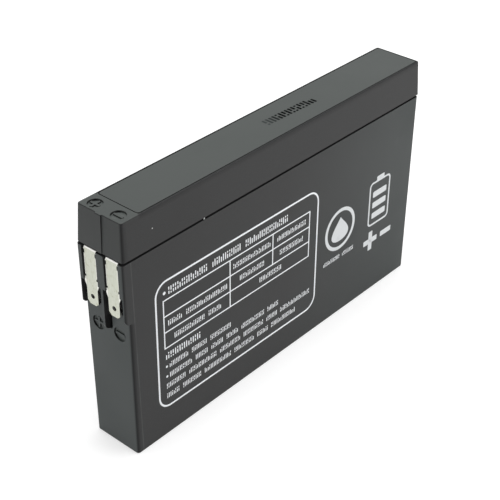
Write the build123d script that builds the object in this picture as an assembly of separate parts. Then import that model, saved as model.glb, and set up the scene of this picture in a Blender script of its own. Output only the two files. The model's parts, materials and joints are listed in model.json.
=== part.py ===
from build123d import *
import math
import os

# A slim six-cell sealed lead acid battery. X runs along its length with the terminals at
# minus X, the printed face looks to minus Y, and the origin is the centre of its underside.

# Overall size
LENGTH = 150.0
WIDTH = 20.0
HEIGHT = 89.0
LID_HEIGHT = 13.9

# Draft of the outer walls, given as how far each wall has leaned in at its narrow end
BASE_INSET = 0.3
LID_SIDE_INSET = 0.6
LID_TERMINAL_INSET = 1.0
LID_FAR_INSET = 0.7

# Rounded outer edges
CORNER_RADIUS = 1.0
TOP_EDGE_RADIUS = 0.4
BASE_EDGE_RADIUS = 0.4

# Container walls. At the far end the container lies in by a step under the lid
FAR_STEP = 0.5
SIDE_WALL = 2.0
FAR_WALL = 1.8
TERMINAL_WALL = 1.6
FLOOR = 1.8
PARTITION = 1.2
CELLS = 6
CORE_DRAFT = 0.25
CELL_CORNER_RADIUS = 0.5
REST_RIB_WIDTH = 1.2
REST_RIB_HEIGHT = 2.0
REST_RIB_SPACING = 11.0

# Terminal end of the container: the block above the ledge, the pockets, cheeks and barrier rib
BLOCK_HEIGHT = 12.4
SETBACK = 1.8
POCKET_DEPTH = 3.4
POCKET_HEIGHT = 7.5
CHEEK_THICKNESS = 1.0
CHEEK_HEIGHT = 9.6
CHEEK_NOSE_RADIUS = 1.9
BARRIER_THICKNESS = 1.0
BARRIER_HEIGHT = 15.5
BARRIER_NOSE_RADIUS = 2.1
CHANNEL_WIDTH = 1.3
CHANNEL_END_RADIUS = 1.1

# Tabs, bent from strip, each in the middle of the bay between the barrier rib and its cheek
TAB_INSET = 0.45
TAB_THICKNESS = 0.8
TAB_STEM_WIDTH = 5.2
TAB_SHOULDER_WIDTH = 6.1
TAB_BLADE_WIDTH = 4.75
TAB_DROP = 20.9
TAB_BLADE_LENGTH = 6.3
TAB_SHOULDER_HEIGHT = 1.9
TAB_SHOULDER_TAPER = 1.6
TAB_RELIEF_DEPTH = 0.35
TAB_RELIEF_HEIGHT = 0.8
TAB_BEND_RELIEF_DROP = 1.1
TAB_BEND_RELIEF_HEIGHT = 1.5
TAB_TIP_CHAMFER = 1.25
TAB_TIP_BEVEL = 0.2
TAB_HOLE_DIAMETER = 1.7
TAB_HOLE_HEIGHT = 3.3
TAB_BEND_RADIUS = 0.3
TAB_SEAT_CLEARANCE = 0.05
TAB_SIDE_CLEARANCE = 0.1

# Resin wells round the tabs' legs
WELL_WALL = 0.9
WELL_DEPTH = 7.5
WELL_MARGIN = 0.6

# Joint between container and lid
LIP_HEIGHT = 1.2
LIP_INSET = 1.3
JOINT_CLEARANCE = 0.1
SEAM_GROOVE_HEIGHT = 0.8
SEAM_GROOVE_DEPTH = 0.6

# Lid
LID_END_STEP = 0.25
LID_END_WALL = 1.65
SPINE_WIDTH = 2.6
SPINE_STAND = 0.45
DECK_THICKNESS = 1.5
CHAMBER_HEIGHT = 4.6
CHAMBER_WALL = 1.2

# Cover plate
COVER_START = 8.45
COVER_THICKNESS = 1.6
COVER_RIM = 0.55
COVER_GAP = 0.35
COVER_LEDGE = 0.8
COVER_CORNER_RADIUS = 1.3
PAD_DIAMETER = 4.0
PAD_HEIGHT = 0.3

# Polarity marks: a raised sign in a round recess
TOP_MARK_SETBACK = 4.35
TOP_MARK_INSET = 5.05
TOP_MARK_DIAMETER = 5.0
END_MARK_DROP = 15.9
END_MARK_DIAMETER = 5.1
MARK_DEPTH = 0.7
SIGN_HEIGHT = 0.5
SIGN_STROKE = 0.75
SIGN_SHARE = 0.78

# Vent chimneys and their rubber caps
CHIMNEY_DIAMETER = 4.4
CHIMNEY_BORE = 2.0
CHIMNEY_HEIGHT = 2.8
CHIMNEY_Y = 1.6
CAP_DIAMETER = 6.2
CAP_FIT = 0.05
CAP_SKIRT_GAP = 0.4
CAP_EDGE_RADIUS = 0.6

# Plates and separators, stacked across the width of each cell. The plates share what the mats leave
POSITIVE_PLATES = 2
NEGATIVE_TO_POSITIVE = 0.68
SEPARATOR_THICKNESS = 1.44
PLATE_CLEARANCE = 0.6
STACK_CLEARANCE = 0.05
SEPARATOR_MARGIN = 0.3
SEPARATOR_RISE = 1.2
LUG_WIDTH = 5.0
LUG_HEIGHT = 2.5
LUG_INSET = 0.2

# Cast straps and the welds through the partitions
HEADROOM = 8.5
STRAP_LENGTH = 7.0
STRAP_THICKNESS = 3.0
STRAP_MARGIN = 0.4
WALL_CLEARANCE = 0.05
STUD_THICKNESS = 1.6
STUD_WIDTH = 8.0
WELD_DIAMETER = 5.0
WELD_RISE = 3.6
POST_SIZE = 2.8
POST_MARGIN = 0.2

# Return bar and the trough that it lies in
BAR_WIDTH = 2.0
BAR_HEIGHT = 1.6
BAR_CLEARANCE = 0.1
BAR_SIDE_GAP = 1.0
TROUGH_RIB = 0.7
TROUGH_RIB_GAP = 0.3
TROUGH_DEPTH = 2.3
RESIN_DIP = 0.3

# Levels, worked out from the sizes above
SEAM_Z = HEIGHT - LID_HEIGHT
LEDGE_Z = SEAM_Z - BLOCK_HEIGHT
RIM_Z = SEAM_Z + LIP_HEIGHT
GROOVE_TOP_Z = SEAM_Z + SEAM_GROOVE_HEIGHT
REST_Z = FLOOR + REST_RIB_HEIGHT
STRAP_TOP_Z = SEAM_Z - HEADROOM
STRAP_Z = STRAP_TOP_Z - STRAP_THICKNESS
PLATE_TOP_Z = STRAP_Z - LUG_HEIGHT
WELD_Z = STRAP_TOP_Z + WELD_RISE
LEG_TOP_Z = SEAM_Z - TAB_SEAT_CLEARANCE
LEG_Z = LEG_TOP_Z - TAB_THICKNESS
COVER_Z = HEIGHT - COVER_THICKNESS
DECK_TOP_Z = COVER_Z - CHAMBER_HEIGHT
DECK_Z = DECK_TOP_Z - DECK_THICKNESS

# Places along X
END_X = -LENGTH / 2
FAR_X = LENGTH / 2
CELLS_START = END_X + POCKET_DEPTH + TERMINAL_WALL
CONTAINER_FAR_X = FAR_X - FAR_STEP
CELLS_END = CONTAINER_FAR_X - FAR_WALL
CELL_LENGTH = (CELLS_END - CELLS_START - (CELLS - 1) * PARTITION) / CELLS
TAB_BACK_X = END_X + TAB_INSET + TAB_THICKNESS
GROOVE_X = TAB_BACK_X + TAB_SEAT_CLEARANCE
STEP_BACK_X = END_X + SETBACK + 2 * CORNER_RADIUS
HEAD_START = END_X + LID_END_STEP + LID_END_WALL
COVER_X = END_X + COVER_START
COVER_END_X = FAR_X - LID_FAR_INSET - COVER_RIM
CHAMBER_X = COVER_X + COVER_LEDGE
CHAMBER_END_X = COVER_END_X - COVER_LEDGE

# Places along Y
HALF_WIDTH = WIDTH / 2
TAB_Y = (BARRIER_THICKNESS / 2 + HALF_WIDTH - CHEEK_THICKNESS) / 2
CELL_WIDTH = WIDTH - 2 * SIDE_WALL
LIP_Y = HALF_WIDTH - LIP_INSET
COVER_Y = HALF_WIDTH - LID_SIDE_INSET - COVER_RIM
CHAMBER_Y = COVER_Y - COVER_LEDGE
BAR_Y = -(CHAMBER_Y - BAR_SIDE_GAP - BAR_WIDTH / 2)
TROUGH_Y = BAR_Y + BAR_WIDTH / 2 + TROUGH_RIB_GAP

# A cut tool runs this far past the face that it opens
PAST = 1.0


def block(x_low, x_high, y_low, y_high, z_low, z_high):
    """A square-edged block between two corners."""
    size = Box(x_high - x_low, y_high - y_low, z_high - z_low, align=(Align.MIN, Align.MIN, Align.MIN))
    return Pos(x_low, y_low, z_low) * size


def side_prism(profile, y_low, y_high):
    """A profile drawn in X and Z, carried across the width from y_low to y_high."""
    return extrude(Plane.XZ.offset(-y_high) * profile, amount=y_high - y_low, dir=(0, -1, 0))


def drafted_shell_form(side_points, half_low, half_high, z_low, z_high):
    """The outer form of a moulding: its drafted side view cut by its drafted end view, with
    the upright corners rounded."""
    side = side_prism(Polygon(*side_points, align=None), -WIDTH, WIDTH)
    end_points = [(-half_low, z_low), (half_low, z_low), (half_high, z_high), (-half_high, z_high)]
    end = extrude(Plane.YZ * Polygon(*end_points, align=None), amount=LENGTH, both=True)
    form = side & end
    upright = form.edges().filter_by(lambda edge: abs(edge.tangent_at(0.5).Z) > 0.9)
    return fillet(upright, CORNER_RADIUS)


def rounded_at(profile, corner, radius):
    """The profile with the one corner nearest to a point rounded."""
    nearest = profile.vertices().sort_by_distance(Vector(*corner))[0]
    return fillet(nearest, radius)


def rectangle(x_low, x_high, y_low, y_high):
    """A rectangle in the drawing plane between two corners."""
    centre = Pos((x_low + x_high) / 2, (y_low + y_high) / 2)
    return centre * Rectangle(x_high - x_low, y_high - y_low)


def cell_x(cell):
    """Where a cell's cavity starts along X, at the rim."""
    return CELLS_START + cell * (CELL_LENGTH + PARTITION)


def draft_inset(z):
    """How far the drafted wall of a cell has come in at a level below the rim."""
    return (RIM_Z - z) * math.tan(math.radians(CORE_DRAFT))


def height_share_below_seam(z):
    """How far down the container a level lies, from 0 at the seam to 1 at the underside."""
    return (SEAM_Z - z) / SEAM_Z


def sign(kind, diameter):
    """A raised minus or plus sign, flat on the XY plane, its bar along Y."""
    length = diameter * SIGN_SHARE
    bar = Box(SIGN_STROKE, length, SIGN_HEIGHT, align=(Align.CENTER, Align.CENTER, Align.MIN))
    if kind == "minus":
        return bar
    return bar + Rot(0, 0, 90) * bar


def polarity_mark(kind, diameter):
    """What a polarity mark takes out of a face at Z = 0: a round recess with the sign left in."""
    floor = Pos(0, 0, -MARK_DEPTH)
    centred_low = (Align.CENTER, Align.CENTER, Align.MIN)
    recess = floor * Cylinder(diameter / 2, MARK_DEPTH + PAST, align=centred_low)
    return recess - floor * sign(kind, diameter)


def guard(y_low, y_high, height, nose_radius):
    """A wall beside a tab, flush with the end, its lower outer corner rounded."""
    low = LEDGE_Z - height
    face_x = END_X + BASE_INSET * height_share_below_seam(low)
    plate = rectangle(face_x, STEP_BACK_X, low, LEDGE_Z + PAST)
    plate = rounded_at(plate, (face_x, low), nose_radius)
    outside = rectangle(END_X - PAST, face_x + nose_radius, low + nose_radius, LEDGE_Z + PAST)
    return side_prism(plate + outside, y_low, y_high)


def container_outside():
    """The container's outer form with the stepped terminal end."""
    far_points = [(CONTAINER_FAR_X, SEAM_Z), (CONTAINER_FAR_X - BASE_INSET, 0)]
    foot_half = HALF_WIDTH - BASE_INSET
    whole = drafted_shell_form(
        [(END_X + BASE_INSET, 0), (END_X, SEAM_Z)] + far_points, foot_half, HALF_WIDTH, 0, SEAM_Z)
    lower = drafted_shell_form(
        [(END_X + SETBACK + BASE_INSET, 0), (END_X + SETBACK, SEAM_Z)] + far_points,
        foot_half, HALF_WIDTH, 0, SEAM_Z)
    lower = fillet(lower.faces().sort_by(Axis.Z)[0].edges(), BASE_EDGE_RADIUS)
    end_block = block(END_X - PAST, STEP_BACK_X, -WIDTH, WIDTH, LEDGE_Z, SEAM_Z + PAST)
    inner_face = HALF_WIDTH - CHEEK_THICKNESS
    near_cheek = guard(-WIDTH, -inner_face, CHEEK_HEIGHT, CHEEK_NOSE_RADIUS)
    rear_cheek = guard(inner_face, WIDTH, CHEEK_HEIGHT, CHEEK_NOSE_RADIUS)
    barrier = guard(-BARRIER_THICKNESS / 2, BARRIER_THICKNESS / 2, BARRIER_HEIGHT, BARRIER_NOSE_RADIUS)
    return lower + (whole & (end_block + near_cheek + rear_cheek + barrier))


def terminal_bay(side):
    """What is taken out round one tab: its pocket, the channel beside the barrier rib, the
    groove up the end block, the notch for its leg and the resin well."""
    inner = BARRIER_THICKNESS / 2
    outer = HALF_WIDTH - CHEEK_THICKNESS
    floor_x = END_X + POCKET_DEPTH
    pocket = block(END_X - PAST, floor_x, inner, outer, LEDGE_Z - POCKET_HEIGHT, LEDGE_Z)
    channel_low = LEDGE_Z - BARRIER_HEIGHT
    channel_profile = rounded_at(
        rectangle(END_X - PAST, floor_x, channel_low, LEDGE_Z), (floor_x, channel_low), CHANNEL_END_RADIUS)
    channel = side_prism(channel_profile, inner, inner + CHANNEL_WIDTH)
    channel_face = rounded_at(rectangle(inner, inner + CHANNEL_WIDTH, channel_low, LEDGE_Z),
                              (inner + CHANNEL_WIDTH, channel_low), CHANNEL_END_RADIUS)
    channel &= extrude(Plane.YZ * channel_face, amount=LENGTH, both=True)
    groove_half = TAB_SHOULDER_WIDTH / 2 + TAB_SIDE_CLEARANCE
    groove = block(END_X - PAST, GROOVE_X, TAB_Y - groove_half, TAB_Y + groove_half,
                   LEDGE_Z - PAST, SEAM_Z + PAST)
    notch_half = TAB_STEM_WIDTH / 2 + TAB_SIDE_CLEARANCE
    notch_z = LEG_Z - TAB_SEAT_CLEARANCE
    notch_profile = rectangle(END_X, CELLS_START + PAST, notch_z, RIM_Z + PAST)
    notch_profile += rectangle(END_X, GROOVE_X, LEDGE_Z, RIM_Z)
    notch_profile = rounded_at(notch_profile, (GROOVE_X, notch_z), TAB_BEND_RADIUS)
    notch = side_prism(notch_profile, TAB_Y - notch_half, TAB_Y + notch_half)
    bay = pocket + channel + groove + notch + well(PAST)
    return bay if side > 0 else mirror(bay, Plane.XZ)


def well(above):
    """The resin well of the rear tab, carried some way above the tab's leg."""
    well_half = TAB_STEM_WIDTH / 2 + WELL_MARGIN
    return block(GROOVE_X + WELL_WALL, CELLS_START - WELL_WALL, TAB_Y - well_half, TAB_Y + well_half,
                 SEAM_Z - WELL_DEPTH, LEG_TOP_Z + above)


def cell_cavity(cell):
    """One cell, narrowing downwards by the draft of its core."""
    mouth = Plane(origin=(cell_x(cell) + CELL_LENGTH / 2, 0, RIM_Z), x_dir=(1, 0, 0), z_dir=(0, 0, -1))
    outline = RectangleRounded(CELL_LENGTH, CELL_WIDTH, CELL_CORNER_RADIUS)
    return extrude(mouth * outline, amount=RIM_Z - FLOOR, taper=CORE_DRAFT)


def rest_ribs(cell):
    """The two ribs across a cell's floor that the plates stand on."""
    centre = cell_x(cell) + CELL_LENGTH / 2
    ribs = []
    for offset in (-REST_RIB_SPACING / 2, REST_RIB_SPACING / 2):
        low = centre + offset - REST_RIB_WIDTH / 2
        ribs.append(block(low, low + REST_RIB_WIDTH, -CELL_WIDTH / 2, CELL_WIDTH / 2, FLOOR / 2, REST_Z))
    return ribs[0] + ribs[1]


def weld_bore(cell):
    """The hole through the partition after a cell, at the weld."""
    start = cell_x(cell) + CELL_LENGTH - PAST
    bore = Cylinder(WELD_DIAMETER / 2 + WALL_CLEARANCE, PARTITION + 2 * PAST,
                    align=(Align.CENTER, Align.CENTER, Align.MIN))
    return Pos(start, 0, WELD_Z) * Rot(0, 90, 0) * bore


def container():
    """The one-piece container: six cells, stepped terminal end and the lip that the lid fits."""
    body = container_outside()
    body += block(HEAD_START + JOINT_CLEARANCE, FAR_X - LIP_INSET, -LIP_Y, LIP_Y, SEAM_Z - PAST, RIM_Z)
    body -= block(HEAD_START, CELLS_START, -CELL_WIDTH / 2, CELL_WIDTH / 2, SEAM_Z, RIM_Z + PAST)
    for cell in range(CELLS):
        body -= cell_cavity(cell)
        body += rest_ribs(cell)
    for cell in range(CELLS - 1):
        body -= weld_bore(cell)
    mark_z = LEDGE_Z - END_MARK_DROP
    mark_x = END_X + SETBACK + BASE_INSET * height_share_below_seam(mark_z)
    for side in (-1, 1):
        body -= terminal_bay(side)
        kind = "plus" if side > 0 else "minus"
        face = Plane(origin=(mark_x, side * TAB_Y, mark_z), x_dir=(0, 0, 1), z_dir=(-1, 0, 0))
        body -= face * polarity_mark(kind, END_MARK_DIAMETER)
    return body


def groove_core(face_x):
    """The part of the lid inside the seam groove, its corners round the same centres as the lid's."""
    outline = RectangleRounded(FAR_X - face_x - 2 * SEAM_GROOVE_DEPTH, WIDTH - 2 * SEAM_GROOVE_DEPTH,
                               CORNER_RADIUS - SEAM_GROOVE_DEPTH)
    return extrude(Pos((face_x + FAR_X) / 2, 0, SEAM_Z) * outline, amount=SEAM_GROOVE_HEIGHT)


def lid_outside():
    """The lid's outer form: drafted walls, rounded edges, the spine up its terminal end and the
    groove that shows as the seam."""
    face_x = END_X + LID_END_STEP
    points = [(face_x, GROOVE_TOP_Z), (END_X + LID_TERMINAL_INSET, HEIGHT),
              (FAR_X - LID_FAR_INSET, HEIGHT), (FAR_X, GROOVE_TOP_Z)]
    form = drafted_shell_form(points, HALF_WIDTH, HALF_WIDTH - LID_SIDE_INSET, GROOVE_TOP_Z, HEIGHT)
    form = fillet(form.faces().sort_by(Axis.Z)[-1].edges(), TOP_EDGE_RADIUS)
    back = END_X + LID_TERMINAL_INSET + TOP_EDGE_RADIUS
    top_front = END_X + LID_TERMINAL_INSET - SPINE_STAND
    spine_points = [(END_X, GROOVE_TOP_Z), (top_front, HEIGHT), (back, HEIGHT), (back, GROOVE_TOP_Z)]
    spine_profile = rounded_at(Polygon(*spine_points, align=None), (top_front, HEIGHT), TOP_EDGE_RADIUS)
    form += side_prism(spine_profile, -SPINE_WIDTH / 2, SPINE_WIDTH / 2)
    return form + groove_core(face_x)


def head_space(cell):
    """The hollow of the lid over one cell. The first also spans the terminal block."""
    start = HEAD_START if cell == 0 else cell_x(cell)
    end = cell_x(cell) + CELL_LENGTH
    outline = Pos((start + end) / 2, 0, SEAM_Z) * Rectangle(end - start, CELL_WIDTH)
    return extrude(outline, amount=DECK_Z - SEAM_Z, taper=CORE_DRAFT)


def cover_outline(gap):
    """The cover plate's outline on the deck side, drawn in by a gap all round."""
    length = COVER_END_X - COVER_X - 2 * gap
    outline = RectangleRounded(length, 2 * (COVER_Y - gap), COVER_CORNER_RADIUS - gap)
    return Pos((COVER_X + COVER_END_X) / 2, 0, COVER_Z) * outline


def vent_x(cell):
    """The middle of a cell along X, where its vent stands."""
    return cell_x(cell) + CELL_LENGTH / 2


def chimney(cell):
    """The tube that stands on the deck over one cell."""
    tube = Cylinder(CHIMNEY_DIAMETER / 2, CHIMNEY_HEIGHT + DECK_THICKNESS / 2,
                    align=(Align.CENTER, Align.CENTER, Align.MAX))
    return Pos(vent_x(cell), CHIMNEY_Y, DECK_TOP_Z + CHIMNEY_HEIGHT) * tube


def chimney_bore(cell):
    """The gas way through a chimney and the deck."""
    length = CHIMNEY_HEIGHT + DECK_THICKNESS + 2 * PAST
    bore = Cylinder(CHIMNEY_BORE / 2, length, align=(Align.CENTER, Align.CENTER, Align.MIN))
    return Pos(vent_x(cell), CHIMNEY_Y, DECK_Z - PAST) * bore


def bar_leg_x():
    """The middles along X of the return bar's two legs, over the negative tab's foot and over
    the last cell's negative post."""
    return post_x("positive", 0), post_x("negative", CELLS - 1)


def bar_leg_hole(x):
    """The hole in the deck for one leg of the return bar."""
    half = BAR_WIDTH / 2 + BAR_CLEARANCE
    return block(x - half, x + half, BAR_Y - half, BAR_Y + half, DECK_Z - PAST, DECK_TOP_Z + PAST)


def lid():
    """The one-piece lid: head spaces below the deck, vent chamber above it, and the trough."""
    body = lid_outside()
    body -= block(HEAD_START, FAR_X - LIP_INSET + JOINT_CLEARANCE,
                  -LIP_Y - JOINT_CLEARANCE, LIP_Y + JOINT_CLEARANCE, SEAM_Z - PAST, RIM_Z + JOINT_CLEARANCE)
    for cell in range(CELLS):
        body -= head_space(cell)
    body -= block(HEAD_START + draft_inset(SEAM_Z), COVER_X - CHAMBER_WALL, -CHAMBER_Y, CHAMBER_Y,
                  SEAM_Z + LIP_HEIGHT, COVER_Z)
    body -= block(CHAMBER_X, CHAMBER_END_X, -CHAMBER_Y, CHAMBER_Y, DECK_TOP_Z, HEIGHT + PAST)
    body -= extrude(cover_outline(0), amount=COVER_THICKNESS + PAST)
    body += block(CHAMBER_X - COVER_LEDGE / 2, CHAMBER_END_X + COVER_LEDGE / 2,
                  TROUGH_Y, TROUGH_Y + TROUGH_RIB,
                  DECK_TOP_Z - DECK_THICKNESS / 2, DECK_TOP_Z + TROUGH_DEPTH)
    for cell in range(CELLS):
        body += chimney(cell)
        body -= chimney_bore(cell)
    for x in bar_leg_x():
        body -= bar_leg_hole(x)
    for side, kind in ((-1, "minus"), (1, "plus")):
        place = Pos(END_X + TOP_MARK_SETBACK, side * (HALF_WIDTH - TOP_MARK_INSET), HEIGHT)
        body -= place * polarity_mark(kind, TOP_MARK_DIAMETER)
    return body


def cover_plate():
    """The plate that closes the vent chamber, with a pad over each vent cap."""
    plate = extrude(cover_outline(COVER_GAP), amount=COVER_THICKNESS)
    for cell in range(CELLS):
        pad = Cylinder(PAD_DIAMETER / 2, PAD_HEIGHT, align=(Align.CENTER, Align.CENTER, Align.MAX))
        plate += Pos(vent_x(cell), CHIMNEY_Y, COVER_Z) * pad
    return plate


def vent_cap(cell):
    """A rubber cap over a chimney, closed by the pad above it."""
    top = COVER_Z - PAD_HEIGHT
    low = DECK_TOP_Z + CAP_SKIRT_GAP
    centred_low = (Align.CENTER, Align.CENTER, Align.MIN)
    outside = Cylinder(CAP_DIAMETER / 2, top - low, align=centred_low)
    outside = fillet(outside.edges().sort_by(Axis.Z)[-1], CAP_EDGE_RADIUS)
    bore = Cylinder(CHIMNEY_DIAMETER / 2 + CAP_FIT, DECK_TOP_Z + CHIMNEY_HEIGHT - low, align=centred_low)
    return Pos(vent_x(cell), CHIMNEY_Y, low) * (outside - bore)


def tab(side):
    """A terminal bent from strip: foot and leg along X, then down to the push-on blade. Small
    relief notches ease the bend and part the stem from the shoulders."""
    foot_end = post_x("positive", 0) + POST_SIZE / 2
    front = END_X + TAB_INSET
    tip = LEG_TOP_Z - TAB_DROP
    strip = rectangle(front, foot_end, tip, LEG_TOP_Z) - rectangle(TAB_BACK_X, foot_end, tip, LEG_Z)
    strip = rounded_at(strip, (front, LEG_TOP_Z), TAB_BEND_RADIUS + TAB_THICKNESS)
    strip = rounded_at(strip, (TAB_BACK_X, LEG_Z), TAB_BEND_RADIUS)
    half = TAB_SHOULDER_WIDTH / 2
    bent = side_prism(strip, -half, half)
    blade = TAB_BLADE_WIDTH / 2
    stem = TAB_STEM_WIDTH / 2
    neck = stem - TAB_RELIEF_DEPTH
    taper_low = tip + TAB_BLADE_LENGTH
    shoulder_low = taper_low + TAB_SHOULDER_TAPER
    shoulder_top = shoulder_low + TAB_SHOULDER_HEIGHT
    relief_top = shoulder_top + TAB_RELIEF_HEIGHT
    bend_relief_top = LEG_TOP_Z - TAB_BEND_RELIEF_DROP
    bend_relief_low = bend_relief_top - TAB_BEND_RELIEF_HEIGHT
    right = [(blade - TAB_TIP_CHAMFER, tip), (blade, tip + TAB_TIP_CHAMFER), (blade, taper_low),
             (half, shoulder_low), (half, shoulder_top), (neck, shoulder_top), (neck, relief_top),
             (stem, relief_top), (stem, bend_relief_low), (neck, bend_relief_low),
             (neck, bend_relief_top), (stem, bend_relief_top), (stem, LEG_TOP_Z)]
    left = [(-y, z) for y, z in reversed(right)]
    outline = Plane.YZ * Polygon(*(right + left), align=None)
    piece = bent & extrude(outline, amount=LENGTH, both=True)
    piece = chamfer(piece.edges().filter_by(Axis.Y).group_by(Axis.Z)[0], TAB_TIP_BEVEL)
    drill = Cylinder(TAB_HOLE_DIAMETER / 2, 2 * (TAB_THICKNESS + PAST))
    piece -= Pos(front, 0, tip + TAB_HOLE_HEIGHT) * Rot(0, 90, 0) * drill
    return Pos(0, side * TAB_Y, 0) * piece


def terminal_seal(side):
    """The resin that fills a well, flush with the top of the leg that it holds."""
    filled = well(0)
    if side < 0:
        filled = mirror(filled, Plane.XZ)
    return filled - tab(side)


def plate_length():
    """The length of every plate, which clears the cell where its draft leaves least room."""
    return CELL_LENGTH - 2 * draft_inset(FLOOR) - 2 * PLATE_CLEARANCE


def stack_width():
    """The width that plates and separators fill together, at the foot of the cell."""
    return CELL_WIDTH - 2 * draft_inset(FLOOR) - 2 * STACK_CLEARANCE


def positive_thickness():
    """The thickness of a positive plate: the plates share what the layers of mat leave."""
    left = stack_width() - 2 * POSITIVE_PLATES * SEPARATOR_THICKNESS
    return left / (POSITIVE_PLATES + (POSITIVE_PLATES + 1) * NEGATIVE_TO_POSITIVE)


def negative_thickness():
    """The thickness of a negative plate."""
    return positive_thickness() * NEGATIVE_TO_POSITIVE


def stack_pitch():
    """The distance from one plate to the next of the same sign."""
    return positive_thickness() + negative_thickness() + 2 * SEPARATOR_THICKNESS


def positive_y():
    """The middles of the positive plates across the cell."""
    first = -(POSITIVE_PLATES - 1) * stack_pitch() / 2
    return [first + index * stack_pitch() for index in range(POSITIVE_PLATES)]


def negative_y():
    """The middles of the negative plates across the cell."""
    first = -POSITIVE_PLATES * stack_pitch() / 2
    return [first + index * stack_pitch() for index in range(POSITIVE_PLATES + 1)]


def strap_x(kind, cell):
    """Where a strap starts along X: positive straps lie towards the terminals."""
    inset = draft_inset(STRAP_Z) + WALL_CLEARANCE
    if kind == "positive":
        return cell_x(cell) + inset
    return cell_x(cell) + CELL_LENGTH - inset - STRAP_LENGTH


def post_x(kind, cell):
    """The middle along X of the post on an end cell's strap."""
    return strap_x(kind, cell) + STRAP_LENGTH - POST_MARGIN - POST_SIZE / 2


def plates(kind, cell):
    """The plates of one sign in a cell, each with the lug that its strap is cast on."""
    middle = cell_x(cell) + CELL_LENGTH / 2
    lug_x = strap_x(kind, cell) + STRAP_LENGTH / 2
    positive = kind == "positive"
    half = (positive_thickness() if positive else negative_thickness()) / 2
    lug_half = negative_thickness() / 2 - LUG_INSET
    low = REST_Z + SEPARATOR_THICKNESS if positive else REST_Z
    made = []
    for y in positive_y() if positive else negative_y():
        face = block(middle - plate_length() / 2, middle + plate_length() / 2,
                     y - half, y + half, low, PLATE_TOP_Z)
        lug = block(lug_x - LUG_WIDTH / 2, lug_x + LUG_WIDTH / 2,
                    y - lug_half, y + lug_half, PLATE_TOP_Z, STRAP_Z)
        made.append(face + lug)
    return made


def separators(cell):
    """The glass mat of a cell, one sheet folded up round each positive plate."""
    middle = cell_x(cell) + CELL_LENGTH / 2
    half = plate_length() / 2 + SEPARATOR_MARGIN
    inside = positive_thickness() / 2
    outside = inside + SEPARATOR_THICKNESS
    top = PLATE_TOP_Z + SEPARATOR_RISE
    made = []
    for y in positive_y():
        folded = block(middle - half, middle + half, y - outside, y + outside, REST_Z, top)
        room = block(middle - half - PAST, middle + half + PAST, y - inside, y + inside,
                     REST_Z + SEPARATOR_THICKNESS, top + PAST)
        made.append(folded - room)
    return made


def strap(kind, cell):
    """The bar cast over a cell's lugs, with a stud at the partition or a post on an end cell."""
    x = strap_x(kind, cell)
    half = stack_width() / 2 - STRAP_MARGIN
    body = block(x, x + STRAP_LENGTH, -half, half, STRAP_Z, STRAP_TOP_Z)
    if kind == "positive" and cell == 0:
        return body + post(kind, cell, TAB_Y, POST_SIZE, LEG_Z)
    if kind == "negative" and cell == CELLS - 1:
        return body + post(kind, cell, BAR_Y, BAR_WIDTH, LEG_TOP_Z)
    stud_low = x if kind == "positive" else x + STRAP_LENGTH - STUD_THICKNESS
    disc = Cylinder(STUD_WIDTH / 2, STUD_THICKNESS, align=(Align.CENTER, Align.CENTER, Align.MIN))
    stud = Pos(stud_low, 0, WELD_Z) * Rot(0, 90, 0) * disc
    stud += block(stud_low, stud_low + STUD_THICKNESS, -STUD_WIDTH / 2, STUD_WIDTH / 2, STRAP_Z, WELD_Z)
    stud &= block(x, x + STRAP_LENGTH, -STUD_WIDTH, STUD_WIDTH, STRAP_Z, HEIGHT)
    body += stud
    if kind == "negative":
        reach = strap_x("positive", cell + 1) - (x + STRAP_LENGTH)
        nugget = Cylinder(WELD_DIAMETER / 2, reach, align=(Align.CENTER, Align.CENTER, Align.MIN))
        body += Pos(x + STRAP_LENGTH, 0, WELD_Z) * Rot(0, 90, 0) * nugget
    return body


def post(kind, cell, y, width, top):
    """The square post that rises from an end cell's strap."""
    x = post_x(kind, cell)
    return block(x - POST_SIZE / 2, x + POST_SIZE / 2, y - width / 2, y + width / 2, STRAP_Z, top)


def return_bar():
    """The bar from the last cell's negative post back to the negative tab's foot."""
    half = BAR_WIDTH / 2
    first, last = bar_leg_x()
    run = block(first - half, last + half, BAR_Y - half, BAR_Y + half, LEG_TOP_Z, DECK_TOP_Z + BAR_HEIGHT)
    return run - block(first + half, last - half, -WIDTH, WIDTH, LEG_TOP_Z, DECK_TOP_Z)


def bar_resin():
    """The resin poured into the trough over the return bar."""
    surface = DECK_TOP_Z + TROUGH_DEPTH - RESIN_DIP
    fill = block(CHAMBER_X, CHAMBER_END_X, -CHAMBER_Y, TROUGH_Y, DECK_TOP_Z, surface)
    return fill - return_bar()


def all_nodes():
    """Every named piece with its solids."""
    nodes = {
        "container": [container()],
        "lid": [lid()],
        "cover_plate": [cover_plate()],
        "positive_tab": [tab(1)],
        "negative_tab": [tab(-1)],
        "positive_terminal_seal": [terminal_seal(1)],
        "negative_terminal_seal": [terminal_seal(-1)],
        "return_bar": [return_bar()],
        "return_bar_resin": [bar_resin()],
    }
    for cell in range(CELLS):
        number = cell + 1
        nodes[f"vent_cap_{number}"] = [vent_cap(cell)]
        nodes[f"positive_plates_{number}"] = plates("positive", cell)
        nodes[f"negative_plates_{number}"] = plates("negative", cell)
        nodes[f"separators_{number}"] = separators(cell)
        nodes[f"positive_strap_{number}"] = [strap("positive", cell)]
        nodes[f"negative_strap_{number}"] = [strap("negative", cell)]
    return nodes


os.makedirs("parts", exist_ok=True)
for name, pieces in all_nodes().items():
    solids = [solid for piece in pieces for solid in piece.solids()]
    shape = solids[0] if len(solids) == 1 else Compound(solids)
    export_step(shape, f"parts/{name}.step")
    print(name, len(solids), "solids,", round(sum(solid.volume for solid in solids)), "mm3")
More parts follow.
